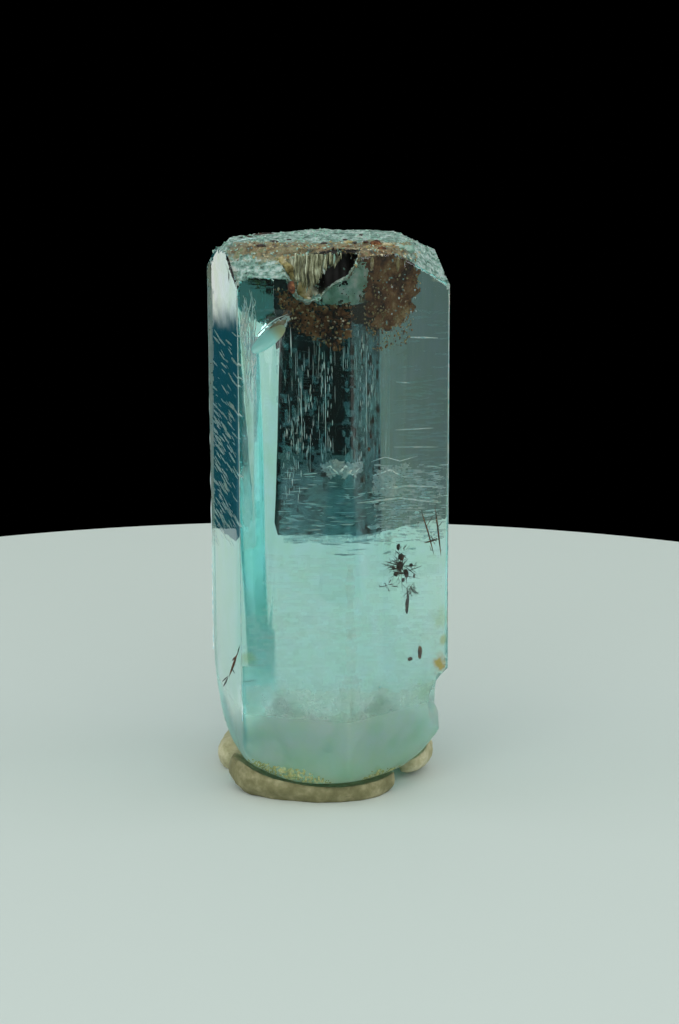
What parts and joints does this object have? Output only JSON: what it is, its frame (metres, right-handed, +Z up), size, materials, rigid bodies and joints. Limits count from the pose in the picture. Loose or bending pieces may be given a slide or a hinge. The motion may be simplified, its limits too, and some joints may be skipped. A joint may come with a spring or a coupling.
{
  "type": "aquamarine crystal on mounting putty",
  "caption": "Etched hexagonal aquamarine prism with a pitted flat top and a rounded foot, held upright on pressed mounting putty.",
  "frame": {"origin": "middle of the bounding box, on the surface that the putty stands on", "axes": "+Z up along the crystal's long axis, +Y away from the face seen in front, +X to the right"},
  "size_m": [0.0144, 0.0164, 0.033],
  "materials": {
    "aquamarine": "clear pale blue-green crystal, polished prism faces with a frosted top and foot",
    "putty": "matt grey-beige mounting putty"
  },
  "bodies": {
    "root": {"aquamarine_crystal": "aquamarine", "putty_front_roll": "putty", "putty_left_wad": "putty", "putty_right_wad": "putty"}
  },
  "joints": []
}
